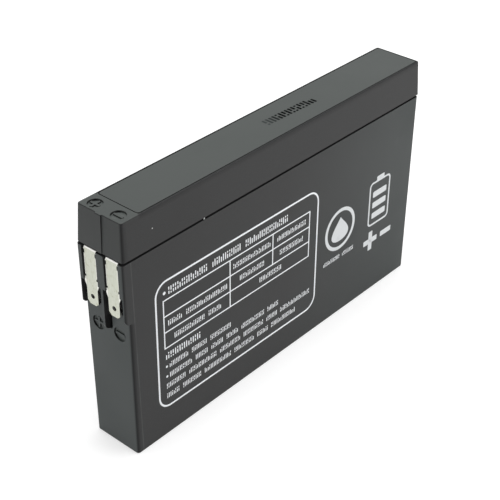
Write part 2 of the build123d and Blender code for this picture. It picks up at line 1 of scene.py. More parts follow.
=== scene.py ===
# %% [markdown]
# A slim sealed lead acid battery, dressed for its picture. The case, lid, cover plate and tabs
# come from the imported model, and this lesson gives them their finish and adds what was printed,
# stamped and glued on them. All lengths are in metres, X runs along the case with the terminals
# at the low end, the printed face looks to minus Y, and Z is up.

# %% Load the fixed model
import json
import math

import bpy
import numpy as np
from mathutils import Matrix, Vector


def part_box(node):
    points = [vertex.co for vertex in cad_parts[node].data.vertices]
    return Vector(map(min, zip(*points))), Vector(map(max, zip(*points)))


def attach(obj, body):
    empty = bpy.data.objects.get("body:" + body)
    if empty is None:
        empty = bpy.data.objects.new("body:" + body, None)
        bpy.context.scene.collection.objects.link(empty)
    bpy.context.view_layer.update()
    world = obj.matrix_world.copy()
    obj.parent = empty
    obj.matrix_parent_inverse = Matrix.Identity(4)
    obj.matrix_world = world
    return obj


MM = 0.001
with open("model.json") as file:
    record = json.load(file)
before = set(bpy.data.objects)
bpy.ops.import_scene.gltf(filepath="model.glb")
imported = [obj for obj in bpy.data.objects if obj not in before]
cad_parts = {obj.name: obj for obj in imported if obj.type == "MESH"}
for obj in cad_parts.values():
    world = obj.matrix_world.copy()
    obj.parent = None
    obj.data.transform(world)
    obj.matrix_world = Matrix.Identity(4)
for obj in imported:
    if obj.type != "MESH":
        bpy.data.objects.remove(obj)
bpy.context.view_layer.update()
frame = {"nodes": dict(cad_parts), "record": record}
nodes = frame["nodes"]
print("nodes in the model:", len(nodes))

# %% [markdown]
# Everything that follows is placed from a few measures of the case. The boxes of the container,
# the lid, the cover and a tab give the ends, the seam and the top. A box doesn't show what lies
# inside it, so the rest is written here: how far the printed face leans in at its foot and the
# lid's side at its top, how tall the groove along the seam is, how round the corners are, how far
# the end is set back below the tabs, and where the walls beside the tabs end.

# %% Measure the case
CONTAINER_LEAN = 0.3 * MM
LID_LEAN = 0.6 * MM
GROOVE_HEIGHT = 0.8 * MM
CORNER_RADIUS = 1.0 * MM
SETBACK = 1.8 * MM
CHEEK_FOOT_Z = 53.1 * MM

container_low, container_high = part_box("container")
lid_low, lid_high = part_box("lid")
cover_low, cover_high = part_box("cover_plate")
tab_low, tab_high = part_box("negative_tab")
end_x = container_low.x
seam_z = lid_low.z
groove_top_z = seam_z + GROOVE_HEIGHT
top_z = lid_high.z
half_width = -container_low.y
tab_middle_y = -(tab_low.y + tab_high.y) / 2
tab_half_width = (tab_high.y - tab_low.y) / 2
print("case", round((container_high.x - end_x) / MM, 1), "long, seam at", round(seam_z / MM, 1), "mm")


def printed_face_y(z):
    """Where the printed face lies at a height: it leans in evenly from the seam to the foot."""
    return -half_width + CONTAINER_LEAN * (seam_z - z) / seam_z


def lid_face_y(z):
    """Where the lid's near side lies at a height: it leans in evenly from the groove to the top."""
    return -half_width + LID_LEAN * (z - groove_top_z) / (top_z - groove_top_z)


# %% [markdown]
# The first tools build shader nodes with few words. A node can take either a value or the output
# of another node in each of its inputs, so one helper covers both. Every finish here uses object
# coordinates, which stay put on the piece in any view.

# %% Shader helpers
def set_input(tree, node, name, value):
    """Gives an input a link if the value is an output socket, and a plain value if not."""
    if isinstance(value, bpy.types.NodeSocket):
        tree.links.new(value, node.inputs[name])
    else:
        node.inputs[name].default_value = value


def feed(tree, node, **values):
    """Sets several inputs of a node by name, where an underscore stands for a space."""
    for key, value in values.items():
        set_input(tree, node, key.replace("_", " "), value)


def noise(tree, place, size, detail=2.0, roughness=0.5):
    """Soft noise whose blobs are about one size across, given in metres. Returns its output."""
    node = tree.nodes.new("ShaderNodeTexNoise")
    feed(tree, node, Vector=place, Scale=1.0 / size, Detail=detail, Roughness=roughness)
    return node.outputs["Fac"]


def ramp(tree, value, low, high, out_low=0.0, out_high=1.0, smooth=True):
    """Maps a value between two limits to an output range, clamped, with soft ends."""
    node = tree.nodes.new("ShaderNodeMapRange")
    node.interpolation_type = "SMOOTHSTEP" if smooth else "LINEAR"
    feed(tree, node, Value=value, From_Min=low, From_Max=high, To_Min=out_low, To_Max=out_high)
    return node.outputs["Result"]


def math_node(tree, operation, first, second=0.0):
    """One sum on two values."""
    node = tree.nodes.new("ShaderNodeMath")
    node.operation = operation
    set_input(tree, node, 0, first)
    set_input(tree, node, 1, second)
    return node.outputs["Value"]


def product(tree, result, *others):
    """All the values multiplied together."""
    for other in others:
        result = math_node(tree, "MULTIPLY", result, other)
    return result


def largest(tree, result, *others):
    """The largest of the values."""
    for other in others:
        result = math_node(tree, "MAXIMUM", result, other)
    return result


def off_from(tree, value, middle):
    """How far a value is from a middle, without its sign."""
    return math_node(tree, "ABSOLUTE", math_node(tree, "SUBTRACT", value, middle))


def blend_colour(tree, share, first, second):
    """Mixes two colours by a share."""
    node = tree.nodes.new("ShaderNodeMix")
    node.data_type = "RGBA"
    set_input(tree, node, 0, share)
    set_input(tree, node, 6, first)
    set_input(tree, node, 7, second)
    return node.outputs[2]


def bump(tree, height, distance, strength=1.0):
    """A normal tilted by a height map. Distance is the height of a full step, in metres."""
    node = tree.nodes.new("ShaderNodeBump")
    feed(tree, node, Height=height, Distance=distance, Strength=strength)
    return node.outputs["Normal"]


# %% [markdown]
# Most masks ask where a point is on its piece, or which way its surface looks. Both are vectors,
# and one helper splits a vector into its three parts.

# %% Place and direction
def object_place(tree):
    """The point on the piece in its own coordinates."""
    return tree.nodes.new("ShaderNodeTexCoord").outputs["Object"]


def stretched_place(tree, place, scale, turn=(0.0, 0.0, 0.0)):
    """The point scaled along its three axes and then turned. A noise read there is drawn out
    along an axis with a small scale, and squeezed along one with a large scale."""
    node = tree.nodes.new("ShaderNodeMapping")
    feed(tree, node, Vector=place, Scale=scale, Rotation=turn)
    return node.outputs["Vector"]


def parts(tree, vector):
    """The X, Y and Z of a vector."""
    node = tree.nodes.new("ShaderNodeSeparateXYZ")
    tree.links.new(vector, node.inputs[0])
    return [node.outputs[axis] for axis in "XYZ"]


def facing(tree, axis):
    """How squarely the surface faces along one axis, from 0 to 1: that part of its normal."""
    normal = tree.nodes.new("ShaderNodeNewGeometry").outputs["Normal"]
    return math_node(tree, "ABSOLUTE", parts(tree, normal)["XYZ".index(axis)])


# %% [markdown]
# A material is one principled shader. What is the same all over it is set on the shader's own
# sockets, and what changes over the surface is fed to it. Later shades are laid over its base
# colour one after another. Each has a mask, which is a function of the point's X, Y and Z.

# %% Material helpers
def new_material(name, **constants):
    """A material with one principled shader, its constant values set on its own sockets."""
    material = bpy.data.materials.new(name)
    material.use_nodes = True
    shader = material.node_tree.nodes["Principled BSDF"]
    feed(material.node_tree, shader, **constants)
    return material, material.node_tree, shader


def mix_over_base(material, mask, colour, **limits):
    """Mixes a colour over whatever feeds the material's base colour. Returns the mask's share."""
    tree = material.node_tree
    share = mask(tree, *parts(tree, object_place(tree)), **limits)
    base_socket = tree.nodes["Principled BSDF"].inputs["Base Color"]
    tree.links.new(blend_colour(tree, share, base_socket.links[0].from_socket, colour), base_socket)
    return share


# %% [markdown]
# A moulded plastic case isn't one even grey. The tool leaves a fine spark-eroded grain, the
# plastic flows in faint clouds, and handling leaves a few rubbed patches and hair scratches. The
# container, the lid and the cover all have this skin, so it is one node group with named inputs.
# The group gives out a colour, a roughness and a normal, and each material keeps its own shader.

# %% A group for the moulded skin
CLOUD_SIZE = 38 * MM
FINE_GRAIN, COARSE_GRAIN = 0.32 * MM, 0.9 * MM
GRAIN_HEIGHT = 0.02 * MM
RUBBED_PATCH = 17 * MM
SCRATCH_LENGTH, SCRATCHED_PATCH = 21 * MM, 11 * MM
SCRATCH_SCALE, SCRATCH_TURN = (1.0, 1.0, 16.0), (0.0, 0.62, 0.3)


def group_with(name, inputs, outputs):
    """A shader group with the named sockets. Returns the group and its two end nodes."""
    group = bpy.data.node_groups.new(name, "ShaderNodeTree")
    for socket, kind, value in inputs:
        made = group.interface.new_socket(socket, in_out="INPUT", socket_type=kind)
        made.default_value = value
    for socket, kind in outputs:
        group.interface.new_socket(socket, in_out="OUTPUT", socket_type=kind)
    return group, group.nodes.new("NodeGroupInput"), group.nodes.new("NodeGroupOutput")


def moulded_skin_group():
    """Grain is the weighted sum of a fine and a coarse noise, clouds are a wide noise that
    shifts the colour, and scratches are thin bands where a stretched noise crosses its middle."""
    group, given, out = group_with(
        "moulded skin",
        [("Colour", "NodeSocketColor", (0.07, 0.07, 0.07, 1)),
         ("Rubbed Colour", "NodeSocketColor", (0.1, 0.1, 0.1, 1)),
         ("Wear", "NodeSocketFloat", 0.5),
         ("Roughness", "NodeSocketFloat", 0.5)],
        [("Colour", "NodeSocketColor"), ("Roughness", "NodeSocketFloat"), ("Normal", "NodeSocketVector")])
    place = object_place(group)
    wear = given.outputs["Wear"]
    clouds = ramp(group, noise(group, place, CLOUD_SIZE, 3.0), 0.35, 0.65)
    fine = noise(group, place, FINE_GRAIN, 3.0, 0.6)
    coarse = noise(group, place, COARSE_GRAIN, 2.0)
    rubbed = ramp(group, noise(group, place, RUBBED_PATCH, 5.0, 0.7), 0.6, 0.78)
    rubbed = product(group, rubbed, wear)

    streak = noise(group, stretched_place(group, place, SCRATCH_SCALE, SCRATCH_TURN), SCRATCH_LENGTH, 2.0)
    hair = ramp(group, off_from(group, streak, 0.5), 0.0, 0.004, 1.0, 0.0)
    patches = ramp(group, noise(group, place, SCRATCHED_PATCH, 1.0), 0.55, 0.68)
    scratch = product(group, hair, patches, wear)

    grain_tint = ramp(group, fine, 0.35, 0.65, 0.0, 0.22, smooth=False)
    tone = math_node(group, "ADD", product(group, clouds, 0.3), grain_tint)
    share = largest(group, tone, product(group, rubbed, 0.6), scratch)
    colour = blend_colour(group, share, given.outputs["Colour"], given.outputs["Rubbed Colour"])
    group.links.new(colour, out.inputs["Colour"])

    cloudy = product(group, math_node(group, "SUBTRACT", clouds, 0.5), 0.1)
    rough = math_node(group, "ADD", given.outputs["Roughness"], cloudy)
    rough = math_node(group, "SUBTRACT", rough, product(group, rubbed, 0.12))
    group.links.new(rough, out.inputs["Roughness"])
    height = math_node(group, "ADD", product(group, fine, 0.6), product(group, coarse, 0.4))
    height = math_node(group, "SUBTRACT", height, product(group, scratch, 0.5))
    group.links.new(bump(group, height, GRAIN_HEIGHT, 0.7), out.inputs["Normal"])
    return group


moulded_skin = moulded_skin_group()
print("group:", moulded_skin.name)


# %% [markdown]
# Hands and packing rub the edges of a case in small places, and the same places get a painted
# sheen. The case is nearly a box, so a point is on an edge when at least two of its coordinates
# are close to the box's faces. The second smallest of the three distances measures exactly that,
# and no mesh data is needed for it.

# %% A group for rubbed edges with a painted sheen
def vector_math(tree, operation, first, second=(0.0, 0.0, 0.0)):
    """One sum on two vectors, part by part."""
    node = tree.nodes.new("ShaderNodeVectorMath")
    node.operation = operation
    set_input(tree, node, 0, first)
    set_input(tree, node, 1, second)
    return node.outputs[0]


def edge_wear_and_sheen_group():
    """The distance to each pair of box faces is half the size less the distance from the
    middle. The middle one of the three distances is small only along an edge."""
    group, given, out = group_with(
        "rubbed edge",
        [("Middle", "NodeSocketVector", (0, 0, 0)), ("Half Size", "NodeSocketVector", (1, 1, 1)),
         ("Reach", "NodeSocketFloat", 0.001)],
        [("Mask", "NodeSocketFloat")])
    place = object_place(group)
    from_middle = vector_math(group, "SUBTRACT", place, given.outputs["Middle"])
    inside = vector_math(group, "SUBTRACT", given.outputs["Half Size"],
                         vector_math(group, "ABSOLUTE", from_middle))
    x, y, z = parts(group, inside)
    lower = math_node(group, "MINIMUM", x, y)
    middle_one = largest(group, lower, math_node(group, "MINIMUM", largest(group, x, y), z))
    near = math_node(group, "DIVIDE", middle_one, given.outputs["Reach"])
    fade = ramp(group, near, 0.0, 1.0, 1.0, 0.0)
    broken = ramp(group, noise(group, place, 3.5 * MM, 4.0, 0.65), 0.32, 0.62, 0.25, 1.0)
    group.links.new(product(group, fade, broken), out.inputs["Mask"])
    return group


rubbed_edge_and_sheen = edge_wear_and_sheen_group()


# %% [markdown]
# Now the three plastics. The container, the lid and the cover plate were moulded apart, so each
# has a slightly different black and grain. The plastic itself is near black with a satin skin,
# and most of the grey that the eye sees is light on that skin, so the base colour stays low.
#
# The ends and the top get painted light: cooler, lighter tints than the broad faces, in place of
# the light that falls on them from above and from the end. The rounded edges get painted shade,
# darker than the walls that they join. A surface's normal tells which way it faces. Its X and Z
# parts, without their signs, mix in the two painted light tints. On a flat wall the largest of the
# three parts is one, and in the middle of a rounded edge it is about 0.7, so a low largest part
# mixes in the painted shade of the edges.

# %% The moulded plastics
PLASTIC_BLACK = (0.0205, 0.0205, 0.0205, 1)
PLASTIC_RUBBED_AND_SHEEN = (0.044, 0.045, 0.045, 1)
# Painted light: lighter, cooler colours for the ends and the top, in place of the light that falls there
PAINTED_END_LIGHT = (0.057, 0.066, 0.065, 1)
PAINTED_LID_END_LIGHT = (0.041, 0.0445, 0.0435, 1)
PAINTED_TOP_LIGHT = (0.052, 0.059, 0.056, 1)
# Painted shade, for the rounded edges, the groove, the lid's rim, behind the corners and behind the tabs
PAINTED_SHADE_BLACK = (0.005, 0.005, 0.0055, 1)
END_LIGHT_SHARE, TOP_LIGHT_SHARE = 0.75, 0.85
# How much rubbed wear with a painted sheen, and how much polish, the edges get
RUB_AND_SHEEN_SHARE, RUB_POLISH = 0.15, 0.06


def rounded_edge_shade(tree):
    """A mask for painted shade, 0 on flat walls and 1 in the middle of a rounded edge: it rises as
    the largest part of the normal falls."""
    squarest = largest(tree, facing(tree, "X"), facing(tree, "Y"), facing(tree, "Z"))
    return ramp(tree, squarest, 0.75, 0.97, 1.0, 0.0)


def place_group(tree, group, **values):
    """Puts a group in a material with values of its own."""
    node = tree.nodes.new("ShaderNodeGroup")
    node.node_tree = group
    feed(tree, node, **values)
    return node


def moulded_plastic(name, roughness, wear, low, high, edge_reach, painted_end_light):
    """A case plastic: the moulded skin, with painted light on its ends and top and painted shade on
    its rounded edges, and small rubbed places with a painted sheen between two box corners."""
    material, tree, shader = new_material(name, IOR=1.5, Specular_IOR_Level=0.22)
    skin = place_group(tree, moulded_skin, Colour=PLASTIC_BLACK, Rubbed_Colour=PLASTIC_RUBBED_AND_SHEEN,
                       Roughness=roughness, Wear=wear)
    edge = place_group(tree, rubbed_edge_and_sheen, Middle=(low + high) / 2, Half_Size=(high - low) / 2,
                       Reach=edge_reach)
    # Painted light on the ends and the top, then painted shade on the rounded edges
    end = ramp(tree, facing(tree, "X"), 0.4, 0.9, 0.0, END_LIGHT_SHARE)
    with_painted_light = blend_colour(tree, end, skin.outputs["Colour"], painted_end_light)
    top = ramp(tree, facing(tree, "Z"), 0.4, 0.9, 0.0, TOP_LIGHT_SHARE)
    with_painted_light = blend_colour(tree, top, with_painted_light, PAINTED_TOP_LIGHT)
    with_painted_light = blend_colour(tree, rounded_edge_shade(tree), with_painted_light, PAINTED_SHADE_BLACK)
    # Rubbed wear on the edges, with a painted sheen in the lighter colour
    rubbed = product(tree, edge.outputs["Mask"], RUB_AND_SHEEN_SHARE)
    polish = product(tree, edge.outputs["Mask"], RUB_POLISH)
    feed(tree, shader, Base_Color=blend_colour(tree, rubbed, with_painted_light, PLASTIC_RUBBED_AND_SHEEN),
         Roughness=math_node(tree, "SUBTRACT", skin.outputs["Roughness"], polish),
         Normal=skin.outputs["Normal"])
    return material


foot_corner = Vector((end_x, -half_width, 0))
seam_corner = Vector((container_high.x, half_width, seam_z))
container_plastic = moulded_plastic(
    "container plastic", 0.5, 0.5, foot_corner, seam_corner, 0.8 * MM, PAINTED_END_LIGHT)
lid_plastic = moulded_plastic("lid plastic", 0.48, 0.4, lid_low, lid_high, 0.5 * MM, PAINTED_LID_END_LIGHT)
cover_plastic = moulded_plastic("cover plastic", 0.47, 0.6, cover_low, cover_high, 0.4 * MM, PAINTED_LID_END_LIGHT)
print("plastics:", container_plastic.name, lid_plastic.name, cover_plastic.name)


# %% [markdown]
# The terminal end of the container is formed by a slide in the mould. Where the slide meets the
# fixed half, a faint upright line with a small step is left on both broad faces. It is too fine for
# geometry, so the light that its step catches is a painted highlight: a narrow light band, broken
# up by noise, on walls that face sideways. The slide draws out at a small angle, so the line leans:
# its X grows a little as it goes down.

# %% The slide's line on the container
SLIDE_LINE_X = end_x + 3.4 * MM
SLIDE_LINE_LEAN = 0.016
SLIDE_LINE_HALF = 0.3 * MM
SLIDE_LINE_SHARE = 0.4
# The colour of the painted highlight along the slide's line
SLIDE_LINE_HIGHLIGHT = (0.11, 0.115, 0.115, 1)


def slide_line(tree, x, y, z):
    """A painted highlight in a band whose share falls evenly from the leaning line to its half
    width, times a noise and times how far the wall faces sideways."""
    leaning = math_node(tree, "ADD", x, product(tree, z, SLIDE_LINE_LEAN))
    off_line = off_from(tree, leaning, SLIDE_LINE_X + SLIDE_LINE_LEAN * seam_z)
    band = ramp(tree, off_line, 0.0, SLIDE_LINE_HALF, SLIDE_LINE_SHARE, 0.0)
    broken = ramp(tree, noise(tree, object_place(tree), 6.0 * MM, 3.0, 0.6), 0.3, 0.6, 0.5, 1.0)
    return product(tree, band, broken, facing(tree, "Y"))


mix_over_base(container_plastic, slide_line, SLIDE_LINE_HIGHLIGHT)


# %% [markdown]
# Four more changes of shade are found by place: each mask is a ramp along X, Y or Z, or a product
# of such ramps. The groove over the seam is narrow and almost no light comes back out of it, so it
# gets painted shade. The lid's rim beside the cover plate is only a millimetre wide and looks away
# from the light, so it gets painted shade that runs a little down the lid's sides. The broad faces
# of the container get a painted sheen, which grows towards the end without terminals. At the
# terminal end both mouldings get painted shade for a little way behind their upright corners.

# %% Painted shade in the groove, on the rim and behind the corners, and a painted sheen
# How far the groove's painted shade reaches below the seam
GROOVE_SHADE_BELOW = 0.08 * MM
RIM_SHADE_DROP = 1.8 * MM
RIM_SHADE = 0.9
# The colour of the painted sheen towards the far end
FAR_END_SHEEN = (0.046, 0.052, 0.051, 1)
# How strong the painted shade behind the upright corners is
CORNER_SHADE = 0.7


def in_groove(tree, x, y, z):
    """A band from just under the seam to the groove's top."""
    above_foot = ramp(tree, z, seam_z - GROOVE_SHADE_BELOW, seam_z - GROOVE_SHADE_BELOW / 4)
    below_top = ramp(tree, z, groove_top_z - 0.1 * MM, groove_top_z, 1.0, 0.0)
    return product(tree, above_foot, below_top)


def add_groove_shade(material):
    """Lays painted shade in the groove, black, and makes it rougher by half its mask."""
    groove = mix_over_base(material, in_groove, PAINTED_SHADE_BLACK)
    tree = material.node_tree
    rough_socket = tree.nodes["Principled BSDF"].inputs["Roughness"]
    rougher = math_node(tree, "ADD", rough_socket.links[0].from_socket, product(tree, groove, 0.5))
    tree.links.new(rougher, rough_socket)


def on_rim(tree, x, y, z):
    """A band of painted shade beside the cover plate, along its length, fading a short way down the side.
    """
    beside = ramp(tree, math_node(tree, "ABSOLUTE", y), cover_high.y - 0.1 * MM, cover_high.y + 0.1 * MM)
    along = ramp(tree, x, cover_low.x - 1.0 * MM, cover_low.x)
    high = ramp(tree, z, top_z - RIM_SHADE_DROP, top_z, 0.0, RIM_SHADE, smooth=False)
    return product(tree, beside, along, high)


def towards_far_end(tree, x, y, z):
    """The painted sheen's mask: walls that face sideways, rising evenly from the middle of the case to the
    far end.
    """
    return product(tree, ramp(tree, x, 0.0, container_high.x, smooth=False), facing(tree, "Y"))


def behind_corner(tree, x, y, z, corner_x, reach, ceiling):
    """A band of painted shade on walls that face sideways. It falls evenly to nothing over its
    reach from the corner, and it ends at a ceiling."""
    fall = ramp(tree, x, corner_x, corner_x + reach, CORNER_SHADE, 0.0, smooth=False)
    below = ramp(tree, z, ceiling - 1.0 * MM, ceiling, 1.0, 0.0)
    return product(tree, fall, below, facing(tree, "Y"))


# Painted shade in the groove over the seam
add_groove_shade(container_plastic)
add_groove_shade(lid_plastic)
# Painted shade on the lid's rim
mix_over_base(lid_plastic, on_rim, PAINTED_SHADE_BLACK)
# A painted sheen on the container's broad faces, growing towards the far end
mix_over_base(container_plastic, towards_far_end, FAR_END_SHEEN)
# Painted shade behind the upright corners of both mouldings
mix_over_base(container_plastic, behind_corner, PAINTED_SHADE_BLACK,
              corner_x=end_x + SETBACK + CORNER_RADIUS, reach=1.3 * MM, ceiling=CHEEK_FOOT_Z)
mix_over_base(lid_plastic, behind_corner, PAINTED_SHADE_BLACK,
              corner_x=end_x + CORNER_RADIUS, reach=2.0 * MM, ceiling=2 * top_z)
print("the cover reaches", round(cover_high.y / MM, 2), "mm from the middle")


# %% [markdown]
# The four polarity marks are round recesses in which a sign stands. Their floors get painted
# light, a little paler than the skin around them, so that they look less shaded than the walls of
# the recess make them. The wall behind each tab gets the opposite, painted shade: a black spot
# around the latch hole. Both are found by how deep they lie behind the face, and by which way they
# look or which tab they are behind.

# %% Painted light on the floors of the marks, and painted shade behind the tabs
# The colour of the painted light on the floors of the marks
MARK_FLOOR_LIGHT = (0.072, 0.08, 0.077, 1)
BEHIND_TAB_HALF = 1.8 * MM
BEHIND_TAB_SOFT = 0.6 * MM
POCKET_WALL_X = end_x + 3.4 * MM


def between(tree, value, low, high, soft=0.1 * MM):
    """A mask that is 1 between two limits, with soft ends outside them."""
    return product(tree, ramp(tree, value, low - soft, low), ramp(tree, value, high, high + soft, 1.0, 0.0))


def on_floor(tree, x, y, z, axis, low, high):
    """Where the surface faces along an axis and lies between two levels of it."""
    level = (x, y, z)["XYZ".index(axis)]
    flat = ramp(tree, facing(tree, axis), 0.9, 0.97)
    return product(tree, flat, between(tree, level, low, high))


def behind_tabs(tree, x, y, z):
    """Painted shade on the pocket's wall that faces the end, near the middle line of each tab."""
    off_tab = off_from(tree, math_node(tree, "ABSOLUTE", y), tab_middle_y)
    spot = ramp(tree, off_tab, BEHIND_TAB_HALF - BEHIND_TAB_SOFT, BEHIND_TAB_HALF, 1.0, 0.0)
    return product(tree, spot, between(tree, x, POCKET_WALL_X - 0.4 * MM, POCKET_WALL_X + 0.2 * MM))


# Painted light on the floors of the marks
mix_over_base(lid_plastic, on_floor, MARK_FLOOR_LIGHT, axis="Z", low=top_z - 0.9 * MM, high=top_z - 0.5 * MM)
mix_over_base(container_plastic, on_floor, MARK_FLOOR_LIGHT, axis="X",
              low=end_x + 2.4 * MM, high=end_x + 2.8 * MM)
# Painted shade on the wall behind each tab
mix_over_base(container_plastic, behind_tabs, PAINTED_SHADE_BLACK)


# %% [markdown]
# The tabs are stamped from brass strip and plated with tin. Tin looks almost white beside black
# plastic, warm and slightly green, with faint lines along the strip and small dull stains where the
# plating was touched. Brushed lines are a noise stretched along Z. A painted highlight is put where
# the surface faces sideways, on its cut edges, on the bend at the top, which catches the light from
# above, and on a narrow band along both sides of the blade, which the die rolled over as it cut
# the strip.

# %% The tinned tabs
TIN_DULL = (0.465, 0.485, 0.405, 1)
TIN_CLEAN = (0.58, 0.59, 0.52, 1)
# The colour of the painted highlight on the tin
TIN_HIGHLIGHT = (0.9, 0.89, 0.86, 1)
TIN_STAIN = (0.34, 0.33, 0.2, 1)
LINE_SIZE, LINE_SCALE = 0.14 * MM, (1.0, 1.0, 0.06)
STAIN_SIZE, STAIN_SPECK_SIZE = 1.7 * MM, 0.35 * MM
ROLLED_START, ROLLED_END = 0.85 * MM, 0.45 * MM


def tinned_tab():
    """Tin plate: metal with stretched lines, dull stains, and a painted highlight on its cut edges,
    bend and rolled sides. The distance from a tab's middle line is the absolute Y less the tab's
    own Y, without its sign."""
    material, tree, shader = new_material("tab tin", Metallic=1.0)
    place = object_place(tree)
    lines = noise(tree, stretched_place(tree, place, LINE_SCALE), LINE_SIZE, 3.0, 0.6)
    stains = ramp(tree, noise(tree, place, STAIN_SIZE, 5.0, 0.7), 0.54, 0.7)
    specks = ramp(tree, noise(tree, place, STAIN_SPECK_SIZE, 2.0), 0.64, 0.74)
    tarnish = largest(tree, product(tree, stains, 0.5), product(tree, specks, 0.55))
    off_middle = off_from(tree, math_node(tree, "ABSOLUTE", parts(tree, place)[1]), tab_middle_y)
    # Painted highlight on the rolled sides, the cut edges and the bend
    rolled = ramp(tree, off_middle, tab_half_width - ROLLED_START, tab_half_width - ROLLED_END, 0.0, 0.6)
    cut = ramp(tree, facing(tree, "Y"), 0.5, 0.9)
    bend = ramp(tree, facing(tree, "Z"), 0.3, 0.7)
    tin_highlight_share = largest(tree, rolled, cut, bend)

    face = blend_colour(tree, ramp(tree, lines, 0.3, 0.7), TIN_DULL, TIN_CLEAN)
    face = blend_colour(tree, tarnish, face, TIN_STAIN)
    rough = math_node(tree, "ADD", ramp(tree, lines, 0.3, 0.7, 0.36, 0.46), product(tree, tarnish, 0.25))
    rough = math_node(tree, "SUBTRACT", rough, product(tree, tin_highlight_share, 0.1))
    height = math_node(tree, "SUBTRACT", lines, product(tree, tarnish, 0.4))
    feed(tree, shader, Base_Color=blend_colour(tree, tin_highlight_share, face, TIN_HIGHLIGHT), Roughness=rough,
         Normal=bump(tree, height, 0.006 * MM))
    return material


tab_tin = tinned_tab()
print("metal:", tab_tin.name)


# %% [markdown]
# The rest of the model is hidden while the case is closed: plates, mats, straps, seals and caps.
# They still get a true finish each, because the parts may be shown opened up. One recipe serves
# them all: two noises mix two shades, set the roughness and raise a small relief. Only the values
# tell cast lead from cured paste, resin and rubber.

# %% Finishes for what is inside
def mottled(name, dark, light, blob, relief, roughness, metallic=0.0, specular=0.5):
    """Two shades mixed by a wide and a fine noise, with the fine noise as relief."""
    material, tree, shader = new_material(name, Metallic=metallic, Specular_IOR_Level=specular)
    place = object_place(tree)
    wide = noise(tree, place, blob, 4.0, 0.6)
    fine = noise(tree, place, blob * 0.12, 3.0, 0.6)
    share = ramp(tree, product(tree, math_node(tree, "ADD", wide, fine), 0.5), 0.38, 0.62)
    feed(tree, shader, Base_Color=blend_colour(tree, share, dark, light),
         Roughness=ramp(tree, wide, 0.3, 0.7, roughness - 0.07, roughness + 0.07),
         Normal=bump(tree, fine, relief))
    return material


cast_lead = mottled("cast lead", (0.2, 0.21, 0.23, 1), (0.36, 0.38, 0.41, 1),
                    2.5 * MM, 0.05 * MM, 0.55, metallic=1.0)
positive_paste = mottled("positive paste", (0.07, 0.032, 0.02, 1), (0.14, 0.07, 0.045, 1),
                         3.0 * MM, 0.08 * MM, 0.86, specular=0.3)
negative_paste = mottled("negative paste", (0.19, 0.2, 0.21, 1), (0.3, 0.31, 0.33, 1),
                         3.0 * MM, 0.08 * MM, 0.8, specular=0.3)
seal_resin = mottled("seal resin", (0.02, 0.02, 0.022, 1), (0.032, 0.032, 0.035, 1),
                     4.0 * MM, 0.02 * MM, 0.22)
vent_rubber = mottled("vent rubber", (0.018, 0.018, 0.018, 1), (0.032, 0.032, 0.03, 1),
                      1.6 * MM, 0.02 * MM, 0.7, specular=0.4)
print("hidden finishes:", cast_lead.name, positive_paste.name, negative_paste.name,
      seal_resin.name, vent_rubber.name)


# %% [markdown]
# The separators are absorbent glass mat: a felt of fine white fibres. A mat shows as many fine
# streaks, so three noises are drawn out along X and laid over each other, and the lightest one
# wins at each point. Each is turned by an angle of its own, so that all three differ.

# %% Glass mat
FIBRE_SIZE, FIBRE_SCALE = 0.25 * MM, (0.12, 1.0, 1.0)
FIBRE_TURNS = (0.3, 1.25, 2.2)


def fibre_mat():
    """White felt: the largest of three stretched noises, as colour and relief."""
    material, tree, shader = new_material("glass mat", Sheen_Weight=0.25, Specular_IOR_Level=0.2)
    place = object_place(tree)
    layers = [noise(tree, stretched_place(tree, place, FIBRE_SCALE, (0.0, turn, 0.0)), FIBRE_SIZE, 2.0)
              for turn in FIBRE_TURNS]
    fibres = largest(tree, *layers)
    shade = ramp(tree, fibres, 0.45, 0.7)
    feed(tree, shader, Base_Color=blend_colour(tree, shade, (0.66, 0.66, 0.64, 1), (0.84, 0.84, 0.82, 1)),
         Roughness=ramp(tree, fibres, 0.45, 0.7, 0.95, 0.8), Normal=bump(tree, fibres, 0.06 * MM))
    return material


glass_mat = fibre_mat()


# %% [markdown]
# The record names a material slot for every node, and each slot has one finish. Only the slots of
# the nodes' objects are set here, and their meshes stay as they are.

# %% Give every node of the model its finish
FINISH_OF_SLOT = {
    "container_plastic": container_plastic, "lid_plastic": lid_plastic, "cover_plastic": cover_plastic,
    "tab_tin": tab_tin, "seal_resin": seal_resin, "vent_rubber": vent_rubber, "cast_lead": cast_lead,
    "positive_paste": positive_paste, "negative_paste": negative_paste, "glass_mat": glass_mat,
}
for subpart in frame["record"]["subparts"]:
    node = nodes[subpart["node"]]
    finish = FINISH_OF_SLOT[subpart["material_slot"]]
    if not node.material_slots:
        node.data.materials.append(finish)
    for material_slot in node.material_slots:
        material_slot.material = finish


# %% [markdown]
# The white print on the broad face is a film of screen-printing ink. It could be a colour in the
# plastic's own material, but real ink stands on the surface and has an edge, so here it is a
# thin mesh. Two shapes are enough for all of it. A line is a flat-topped profile carried along a
# path, and every other figure is a small plate between an outline and its middle.
#
# Both are drawn in the flat plane of the face first, with u along the case and w up, and are
# then laid on the drafted wall by adding the wall's own Y at each height. The screen wasn't quite
# level when the case was printed, so the whole print sinks a little along the case.

# %% Ink helpers
INK_HEIGHT = 0.035 * MM
INK_SINK = 0.02 * MM
SHOULDER = 0.85
PRINT_SLOPE = -0.006


def mesh_object(name, points, faces, material):
    """A mesh object with its place in its mesh, from points (n, 3) and a list of faces."""
    mesh = bpy.data.meshes.new(name)
    mesh.from_pydata(points.tolist(), [], faces)
    mesh.materials.append(material)
    piece = bpy.data.objects.new(name, mesh)
    bpy.context.scene.collection.objects.link(piece)
    return piece


def add_to_case(piece):
    """A new piece rides with the case: it hangs from the case's root body."""
    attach(piece, "root")
    return piece


